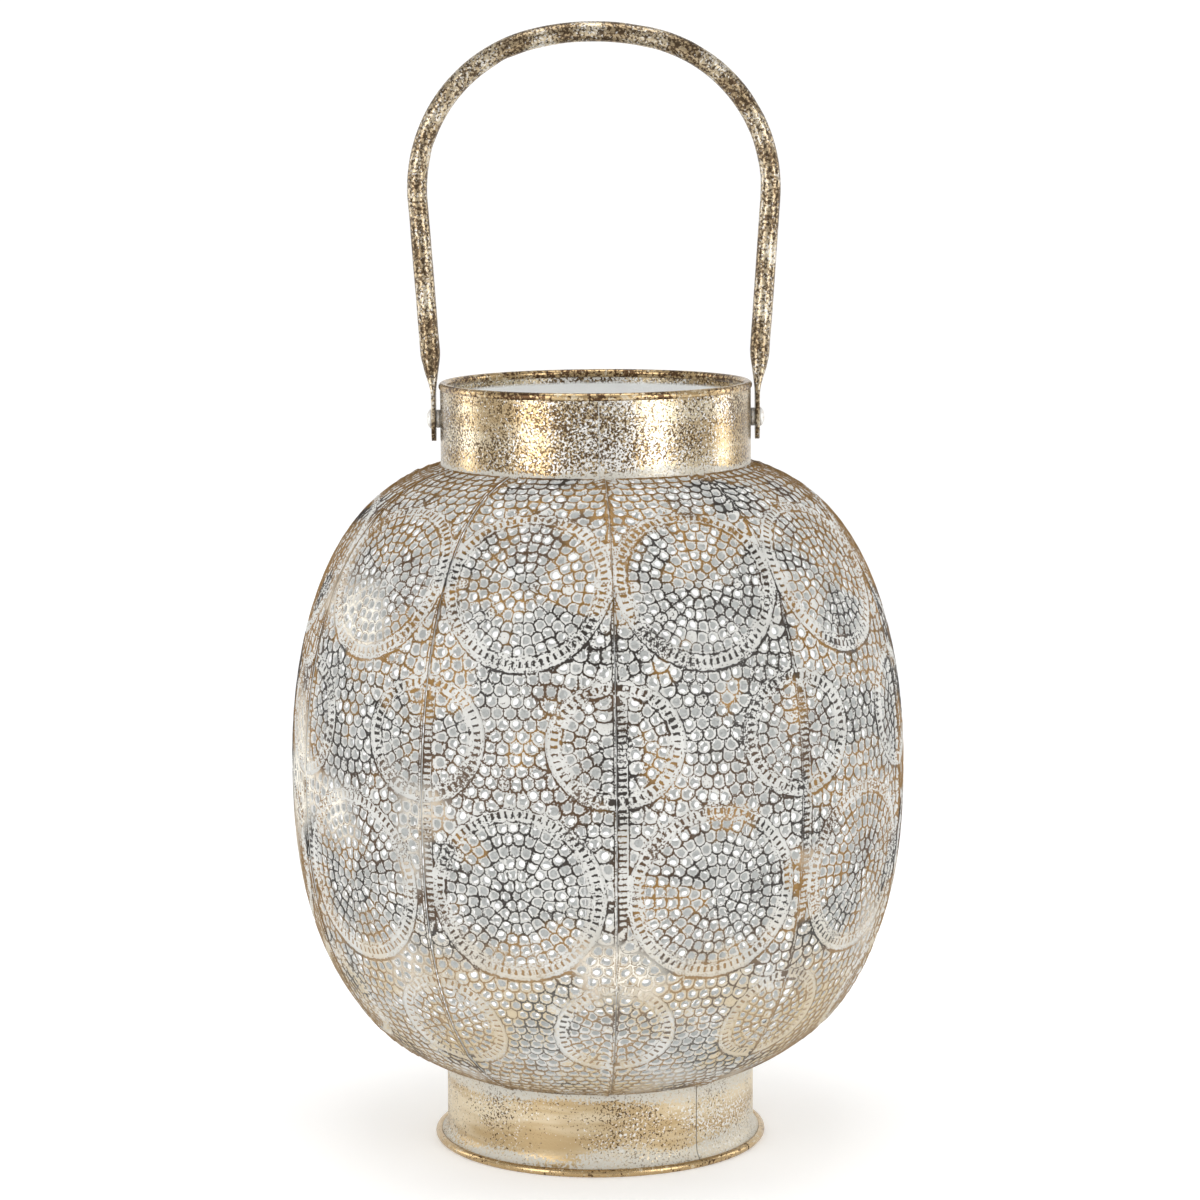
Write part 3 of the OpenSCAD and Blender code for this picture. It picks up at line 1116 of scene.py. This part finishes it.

# %% [markdown]
# ## Ten gores
# The drawing is bent onto the bulging shell ten times. Every corner moves out along the
# shell's own normal by its height, and a second skin a third of a millimetre behind it,
# joined along every edge and hole, makes it a real sheet. The right edge of each gore rides
# over its neighbour, as a lap seam does, and a dark line is painted along the seam: painted
# shade under the lap on the left edge, wear and painted shade on the lapping right edge. The
# gores stay in the lantern's own frame and not in one each, so that the noise, and so the
# wear, differs from gore to gore.

# %% Bend the drawing onto the shell
LAP_W = 3.5 * MM
LAP_H = 0.65 * MM
SUNK = 0.45 * MM


def middle_angle(node):
    """Azimuth of a gore's middle, from the front towards +X."""
    x, y, _ = corners(node).mean(0)
    return math.atan2(x, -y)


def on_shell(flat, height, angle):
    """Places of flat-sheet points on the shell, lifted off it by height."""
    x, s = flat[:, 0], flat[:, 1]
    r = radius_at(s)
    z = np.interp(s, OUTLINE_S, OUTLINE[:, 1])
    dr = np.interp(s, OUTLINE_S, SLOPE[:, 0])
    dz = np.interp(s, OUTLINE_S, SLOPE[:, 1])
    turn = angle + x / r
    out = r + height * dz
    return np.stack([out * np.sin(turn), -out * np.cos(turn), z - height * dr], 1)


def boundary_edges(triangles):
    """Edges that only one triangle uses, in that triangle's direction."""
    edges = np.vstack([triangles[:, [0, 1]], triangles[:, [1, 2]], triangles[:, [2, 0]]])
    key = np.sort(edges, axis=1)
    _, first, count = np.unique(key, axis=0, return_index=True, return_counts=True)
    return edges[first[count == 1]]


def fast_mesh(name, points, triangles, material):
    """mesh_piece for large arrays of triangles."""
    mesh = bpy.data.meshes.new(name)
    mesh.vertices.add(len(points))
    mesh.vertices.foreach_set("co", points.astype(np.float32).ravel())
    mesh.loops.add(triangles.size)
    mesh.loops.foreach_set("vertex_index", triangles.astype(np.int32).ravel())
    mesh.polygons.add(len(triangles))
    mesh.polygons.foreach_set("loop_start", np.arange(len(triangles), dtype=np.int32) * 3)
    mesh.polygons.foreach_set("loop_total", np.full(len(triangles), 3, np.int32))
    mesh.update(calc_edges=True)
    return link_piece(name, mesh, material)


def set_attribute(piece, name, values):
    layer = piece.data.attributes.new(name, "FLOAT", "POINT")
    layer.data.foreach_set("value", np.asarray(values, np.float32))


RIM = boundary_edges(TRIANGLES)
START, END, BEHIND = RIM[:, 0], RIM[:, 1], len(FLAT)
WALLS = np.vstack([np.stack([END, START, START + BEHIND], 1),
                   np.stack([END, START + BEHIND, END + BEHIND], 1)])
ROOM = 0.5 * MM
BAKE_EDGE, BAKE_BAND, BAKE_NEXT = 0.005, 0.385, 0.395
BAKE_BACK, BAKE_BACK_BAND = 0.80, 0.195


def unit(vectors):
    """The same directions, each one long."""
    return vectors / (np.hypot(*vectors.T)[:, None] + 1e-9)


def wall_spread():
    """For every corner of the flat sheet, a short step off the sheet's edge into the open."""
    run = FLAT[END] - FLAT[START]
    off = unit(np.stack([run[:, 1], -run[:, 0]], 1))
    step = np.zeros_like(FLAT)
    np.add.at(step, START, off)
    np.add.at(step, END, off)
    return unit(step) * 0.25 * MM


def lay_out(piece):
    """Flattens the gore for baking: its front in two bands, its back in a narrow third one."""
    widest = float(np.abs(FLAT[:, 0]).max()) + ROOM
    middle, overlap = SHEET_LENGTH / 2, 4 * MM
    spread = np.vstack([FLAT, FLAT + wall_spread()])
    flat = np.vstack([spread[TRIANGLES], FLAT[TRIANGLES[:, ::-1]], spread[WALLS]])
    upper = flat[:, :, 1].mean(1) > middle
    back = np.zeros((len(flat), 1), bool)
    back[len(TRIANGLES):2 * len(TRIANGLES)] = True
    across = (flat[:, :, 0] + widest) / (2 * widest)
    low = np.where(upper, middle - overlap, -ROOM)[:, None]
    along = (flat[:, :, 1] - low) / (middle + overlap + ROOM)
    u = BAKE_EDGE + BAKE_BAND * across + BAKE_NEXT * upper[:, None]
    u = np.where(back, BAKE_BACK + BAKE_BACK_BAND * across, u)
    v = np.where(back, (flat[:, :, 1] + ROOM) / (SHEET_LENGTH + 2 * ROOM), along)
    layer = piece.data.uv_layers.new(name="OFBake")
    layer.data.foreach_set("uv", np.stack([u, v], 2).astype(np.float32).ravel())


def make_gore(node, material):
    angle = middle_angle(node)
    x, s = FLAT[:, 0], FLAT[:, 1]
    lap = ramp((x - half_width(s) + LAP_W) / LAP_W, 0, 1)
    lift = HEIGHTS + LAP_H * lap - SUNK
    skins = np.vstack([on_shell(FLAT, lift, angle), on_shell(FLAT, lift - SHEET_T, angle)])
    # walls get corners of their own so that shading breaks cleanly at the sheet's edge
    wall_corners = np.unique(WALLS)
    renumber = np.zeros(len(skins), int)
    renumber[wall_corners] = np.arange(len(wall_corners)) + len(skins)
    points = np.vstack([skins, skins[wall_corners]])
    triangles = np.vstack([TRIANGLES, TRIANGLES[:, ::-1] + BEHIND, renumber[WALLS]])
    piece = fast_mesh(node.replace("shell_panel", "pierced_gore"), points, triangles, material)
    for name, values in (("wear_and_seam_shade", np.clip(WEAR_AND_SEAM_SHADE, 0, 1)), ("grime", GRIME)):
        values = np.tile(values, 2)
        set_attribute(piece, name, np.concatenate([values, values[wall_corners]]))
    outside = np.repeat([1.0, 0.0], BEHIND)
    # the walls at the seams take the outside finish, so they show the painted shade line too
    seam_shade_corners = np.tile(abs(x) > half_width(s) - 0.2 * MM, 2)
    on_walls = np.where(seam_shade_corners, 1, outside)[wall_corners]
    set_attribute(piece, "outside", np.concatenate([outside, on_walls]))
    lay_out(piece)
    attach(piece, ROOT)
    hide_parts(node)
    return piece


GORES = [make_gore(node, SHELL_PAINT) for node in PANELS]
print(len(GORES), "gores of", len(GORES[0].data.polygons), "triangles")

# %% [markdown]
# ## Turned strips
# The neck band, the foot band and the two beads are strips and wires rolled into a ring. A
# profile that is turned round the axis gives them, and small waves in its radius keep them
# from looking machined. Each has the joint that a rolled strip must have somewhere.

# %% A profile turned into a ring


def ring_faces(count, columns, n):
    """Faces between neighbouring copies of a closed section of n corners."""
    return [(here + j, there + j, there + (j + 1) % n, here + (j + 1) % n)
            for here, there in ((i % columns * n, (i + 1) % columns * n) for i in range(count))
            for j in range(n)]


def turned(name, profile, material, node, start=0.0, gap=0.0, count=288, wave=None):
    """A closed profile of (radius, height) points, turned round the axis from azimuth start."""
    sweep = 2 * math.pi - gap
    columns = count if gap == 0 else count + 1
    points = []
    for i in range(columns):
        a = start + gap / 2 + sweep * i / count
        for r, z in profile:
            r += wave(a, z) if wave else 0
            points.append((r * math.sin(a), -r * math.cos(a), z))
    n = len(profile)
    faces = ring_faces(count, columns, n)
    if gap:
        faces += [list(range(n)), [count * n + j for j in range(n)][::-1]]
    piece = mesh_piece(name, points, faces, material)
    finish_piece(piece, ROOT, node)
    return piece


def finish_piece(piece, body, node):
    """Gives a small piece outward normals and sharp edges, sets it on its body and hides its CAD
    node.
    """
    work = bmesh.new()
    work.from_mesh(piece.data)
    bmesh.ops.recalc_face_normals(work, faces=work.faces)
    for edge in work.edges:
        edge.smooth = len(edge.link_faces) == 2 and edge.calc_face_angle(0) < math.radians(38)
    work.to_mesh(piece.data)
    work.free()
    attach(piece, body)
    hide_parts(node)


def circle_profile(r, z, wire, count=16, low=-1.0):
    """The section of a round wire, filed flat below height low."""
    return [(r + wire * math.cos(a), max(z + wire * math.sin(a), low))
            for a in (2 * math.pi * i / count for i in range(count))]


def outside_share(piece, wall_radius):
    """Marks the corners beyond a radius as outside."""
    beyond = [math.hypot(v.co.x, v.co.y) > wall_radius for v in piece.data.vertices]
    set_attribute(piece, "outside", beyond)


# %% [markdown]
# ## Neck band and rim bead
# The neck is a strip whose ends meet at the front in a plain butt joint. Its lower edge is
# tucked behind the gores and its upper edge is rolled round a wire, which makes the bead.

# %% Make the neck
neck_low, neck_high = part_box("neck_band")
rim_low, rim_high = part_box("neck_rim")
NECK_R = neck_high[0]
RIM_WIRE = (rim_high[2] - rim_low[2]) / 2
RIM_Z = (rim_high[2] + rim_low[2]) / 2
RIM_R = rim_high[0] - RIM_WIRE
STRIP_T = 0.8 * MM


def hand_rolled(depth, waves, seed):
    """Small waves in radius that never repeat exactly round the ring."""
    rng = random.Random(seed)
    parts = []
    for k in range(2, 2 + waves):
        amount = rng.uniform(0.3, 1.0) * depth / waves
        parts.append((k, amount, rng.uniform(0, 2 * math.pi), rng.uniform(80, 220)))

    def wave(a, z):
        return sum(amount * math.sin(k * a + phase + z * twist) for k, amount, phase, twist in parts)

    return wave


def strip_profile(r, low, high, thick, steps):
    """A straight strip's section, outside up and inside down."""
    up = [(r, z) for z in np.linspace(low, high, steps)]
    down = [(r - thick, z) for z in np.linspace(high, low, steps)]
    return up + down


NECK_JOINT = math.radians(1.2)
neck = turned(
    "neck_strip", strip_profile(NECK_R - 0.1 * MM, neck_low[2] - 0.6 * MM, RIM_Z, STRIP_T, 22),
    gold_leaf("gilded_neck", neck_low[2], RIM_Z, (0.17, 0.06), speckle=0.0, brown=0.035,
              matt=0.17, dark_reflection_half=0.015),
    "neck_band", start=NECK_JOINT, gap=0.0035,
    wave=hand_rolled(0.16 * MM, waves=9, seed=3))
outside_share(neck, NECK_R - 0.5 * MM)
turned("rim_bead", circle_profile(RIM_R, RIM_Z, RIM_WIRE), polished_bead("tarnished_bead", 0.02),
       "neck_rim", start=math.radians(199.5), gap=0.005,
       wave=hand_rolled(0.12 * MM, waves=7, seed=5))
print("neck band", round((neck_high[2] - neck_low[2]) / MM, 1), "mm high")

# %% [markdown]
# ## Foot band and foot ring
# The foot strip runs straight down and flares out in a cove round a thick wire, on which the
# lantern stands. On a real foot the strip's ends lap over each other at the front right, and
# here a narrow gap marks that seam.

# %% Make the foot
FOOT_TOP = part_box("foot_band")[1][2]
RING_R_OUT, _, RING_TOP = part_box("foot_ring")[1]
RING_WIRE = 1.5 * MM
COVE_R = 7.0 * MM
RING_Z = RING_TOP - RING_WIRE
WALL_R = min(np.hypot(*corners("foot_band")[:, :2].T)) + STRIP_T


def foot_profile():
    """Section of the foot strip: a straight wall, then the cove that flares out."""
    ring_r = RING_R_OUT - RING_WIRE
    turn = math.acos(1 - (ring_r - WALL_R + STRIP_T / 2) / COVE_R)
    centre = (WALL_R - STRIP_T / 2 + COVE_R, RING_Z + COVE_R * math.sin(turn))
    near, far = ([polar(centre, r, math.pi + turn * i / 9) for i in range(10)]
                 for r in (COVE_R - STRIP_T / 2, COVE_R + STRIP_T / 2))
    wall = [(WALL_R, z) for z in np.linspace(FOOT_TOP, centre[1] + 1 * MM, 12)]
    return wall + near + far[::-1] + [(WALL_R - STRIP_T, FOOT_TOP)]


FOOT_JOINT = math.radians(37.5)
foot = turned("foot_strip", foot_profile(),
              gold_leaf("gilded_foot", RING_Z, FOOT_TOP, (0.46, 0.30), speckle=-0.04,
                        brown=-0.05, matt=0.34, dark_reflection_half=-0.05),
              "foot_band", start=FOOT_JOINT, gap=0.008,
              wave=hand_rolled(0.16 * MM, waves=9, seed=8))
outside_share(foot, WALL_R - 0.5 * MM)
turned("foot_bead", circle_profile(RING_R_OUT - RING_WIRE, RING_Z, RING_WIRE, 18, 0.0),
       polished_bead("polished_bead", -0.13), "foot_ring",
       start=math.radians(62), gap=0.012,
       wave=lambda a, z: -0.06 * MM * (1 + math.sin(5 * a)))
print("foot band wall", round(WALL_R / MM, 2), "mm radius")

# %% [markdown]
# ## Floor plate
# The candle stands on a plain disc that lies on the gores' tabs. It has a shallow pressed
# groove near its edge, which keeps thin sheet flat.

# %% Make the floor plate
plate_low, plate_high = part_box("floor_plate")
NEARLY_0 = 0.02 * MM


def plate_profile():
    r, low, high = plate_high[0], plate_low[2], plate_high[2]
    edge = 0.2 * MM
    groove = [(r - (9 - 5 * t) * MM, -0.5 * MM * math.sin(math.pi * t) ** 2)
              for t in np.linspace(0, 1, 9)]
    top = [(NEARLY_0, high), (0.45 * r, high), *[(q, high + z) for q, z in groove],
           (r - edge, high), (r, high - edge)]
    bottom = [(NEARLY_0, low), (0.45 * r, low), *[(q, low + max(z, -0.3 * MM)) for q, z in groove],
              (r - edge, low), (r, low + edge)]
    return top + bottom[::-1]


turned("candle_plate", plate_profile(), inner_paint(), "floor_plate", count=96)
print("plate", round(2 * plate_high[0] / MM), "mm across")

# %% [markdown]
# ## Bail handle
# The handle is one round bar. Its top is nearly flat, its shoulders are tight arcs and its
# legs lean in a little. Each end is hammered flat, which spreads it into a rounded paddle.
# The rivet fills the hole in the paddle, so no hole is cut here. A section that changes from
# round to flat is swept along the middle line of the bar, so the squeeze is a smooth part of
# the same surface.

# %% Sweep the bar
bar_low, bar_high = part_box("handle")
BAR_R = 3.75 * MM
BOW_Z = bar_high[2] - BAR_R
BOW_HALF = bar_high[0] - BAR_R
BOW_WIDE_Z = 360 * MM
BOW_TOP_R = 95 * MM
LEG_LEAN = math.radians(4)
LEG_END_Z = 300 * MM
FLAT_Z = 283 * MM
FLAT_T = 1.8 * MM
FLAT_W = 11 * MM
FLAT_MID_X = 59.6 * MM + FLAT_T / 2
BAR_SIDES = 28
DENTS = 40
DENT_RUN = 1.6
TIP_Z = bar_low[2]


def bow_line():
    """Middle line of the right half of the bar, from the top to the tip, as (x, z, spread).

    spread is 0 where the bar is round, 1 where it is flat and above 1 round the flat's tip."""
    top_drop = BOW_TOP_R - (BOW_Z - BOW_WIDE_Z)
    shoulder = (BOW_TOP_R**2 - BOW_HALF**2 - top_drop**2) / (2 * (BOW_TOP_R - BOW_HALF))
    shoulder_x = BOW_HALF - shoulder
    turn = math.atan2(shoulder_x, top_drop)
    line = [(BOW_TOP_R * math.sin(a), BOW_Z - BOW_TOP_R + BOW_TOP_R * math.cos(a), 0)
            for a in np.linspace(0, turn, 12)]
    line += [(shoulder_x + shoulder * math.sin(a), BOW_WIDE_Z + shoulder * math.cos(a), 0)
             for a in np.linspace(turn, math.pi / 2 + LEG_LEAN, 44)[1:]]
    x, z, _ = line[-1]
    end_x = x - (z - LEG_END_Z) * math.tan(LEG_LEAN)
    line += [(x + (end_x - x) * t, z + (LEG_END_Z - z) * t, 0) for t in np.linspace(0, 1, 20)[1:]]
    for t in np.linspace(0, 1, 14)[1:]:
        ease = ramp(t, 0, 1)
        line.append((end_x + (FLAT_MID_X - end_x) * ease, LEG_END_Z + (FLAT_Z - LEG_END_Z) * t, ease))
    bottom = TIP_Z + 0.02 * MM
    centre = bottom + FLAT_W / 2
    line += [(FLAT_MID_X, z, 1) for z in np.linspace(FLAT_Z, centre, 6)[1:]]
    round_end = np.linspace(0, math.pi / 2, 12)[1:]
    line += [(FLAT_MID_X, centre - FLAT_W / 2 * math.sin(a), 1 + a) for a in round_end]
    return line


def bar_section(x, z, along, spread):
    """Points of the bar's section at one place. along is the angle of the middle line."""
    width, thick, power = BAR_R, BAR_R, 2.0
    if spread > 0:
        share = min(spread, 1)
        width = BAR_R + (FLAT_W / 2 - BAR_R) * share
        thick = BAR_R + (FLAT_T / 2 - BAR_R) * share
        power = 2.0 + 3.0 * share
    if spread > 1:
        width = FLAT_W / 2 * max(math.cos(spread - 1), 0.04)
    points = []
    for i in range(BAR_SIDES):
        a = 2 * math.pi * i / BAR_SIDES
        c, s = math.cos(a), math.sin(a)
        across = math.copysign(abs(c) ** (2 / power), c) * thick
        deep = math.copysign(abs(s) ** (2 / power), s) * width
        points.append((x + across * math.cos(along), deep, z + across * math.sin(along)))
    return points


def make_bar():
    """Sweeps the section along the bow and presses small dents into it."""
    rng = random.Random(4)
    half = bow_line()
    line = [(-x, z, spread) for x, z, spread in half[:0:-1]] + half
    dents = [(rng.uniform(0, len(line)), rng.uniform(0, 2 * math.pi), rng.uniform(0.1, 0.25) * MM)
             for _ in range(DENTS)]
    points = []
    for i, (x, z, spread) in enumerate(line):
        x0, z0, _ = line[max(i - 1, 0)]
        x1, z1, _ = line[min(i + 1, len(line) - 1)]
        along = math.atan2(z1 - z0, x1 - x0) - math.pi / 2
        if spread >= 1:
            along = math.pi if z1 < z0 else 0.0
        for j, p in enumerate(bar_section(x, z, along, spread)):
            a = 2 * math.pi * j / BAR_SIDES
            dent = sum(d * math.exp(-((i - u) / DENT_RUN) ** 2 - (2 * math.sin((a - v) / 2)) ** 2 * 2)
                       for u, v, d in dents)
            inward = Vector((x, 0, z)) - Vector(p)
            points.append(Vector(p) + inward.normalized() * dent * (1 if spread < 0.3 else 0.3))
    last = len(line) - 1
    faces = [(a, d, c, b) for a, b, c, d in ring_faces(last, last + 1, BAR_SIDES)]
    ends = list(range(BAR_SIDES))
    faces += [ends[::-1], [last * BAR_SIDES + j for j in ends]]
    piece = mesh_piece("bail_bar", points, faces, antique_bar())
    finish_piece(piece, BAIL, "handle")


make_bar()
print("bow", round(2 * (BOW_HALF + BAR_R) / MM, 1), "mm wide")
print("top", round((bar_high[2] - PIVOT_Z) / MM, 1), "mm above the pivot")

# %% [markdown]
# ## Rivets and washers
# A rivet goes through the flat end, a washer and the neck, and its tail is hammered over
# inside. The head was struck by hand, so it is a low dome with a slightly uneven edge.

# %% Make the rivets and the washers
RIVET = rivet_metal()


def spun_on_pivot(name, profile, node, mirror, uneven=0.0, seed=0):
    """A profile of (distance along X, radius) turned about the pivot."""
    rng = random.Random(seed)
    phase = [rng.uniform(0, 2 * math.pi) for _ in range(4)]
    count = 40
    points = []
    for i in range(count):
        a = 2 * math.pi * i / count
        wobble = 1 + uneven * sum(math.sin((k + 2) * a + phase[k]) for k in range(4)) / 4
        for x, r in profile:
            points.append((mirror * x, r * wobble * math.cos(a), PIVOT_Z + r * wobble * math.sin(a)))
    piece = mesh_piece(name, points, ring_faces(count, count, len(profile)), RIVET)
    finish_piece(piece, ROOT, node)


def rivet_profile():
    """Section of a rivet from its hammered tail to the top of its dome."""
    (low, _, under), (high, _, over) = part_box("rivet_right")
    head_h = 1.7 * MM
    head_r = (over - under) / 2
    shank = 2.0 * MM
    tail, tail_r, round_off = 1.4 * MM, head_r - 0.35 * MM, 0.4 * MM
    face = high - head_h
    quarter = np.linspace(0, math.pi / 2, 12)[:-1]
    dome = [(face + head_h * math.sin(a), head_r * math.cos(a)) for a in quarter]
    return [(low, NEARLY_0), (low, tail_r - round_off), (low + round_off, tail_r),
            (low + tail, tail_r), (low + tail, shank), (face, shank), *dome, (high, NEARLY_0)]


def washer_profile():
    (low, _, under), (high, _, over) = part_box("spacer_right")
    outer, inner, edge = (over - under) / 2, 2.06 * MM, 0.15 * MM
    return [(low, inner), (low, outer - edge), (low + edge, outer), (high - edge, outer),
            (high, outer - edge), (high, inner)]


for side, mirror in (("left", -1), ("right", 1)):
    spun_on_pivot("rivet_stud_" + side, rivet_profile(), "rivet_" + side, mirror,
                  uneven=0.02, seed=20 + mirror)
    spun_on_pivot("washer_" + side, washer_profile(), "spacer_" + side, mirror)
print("rivets at", round(PIVOT_Z / MM, 2), "mm")
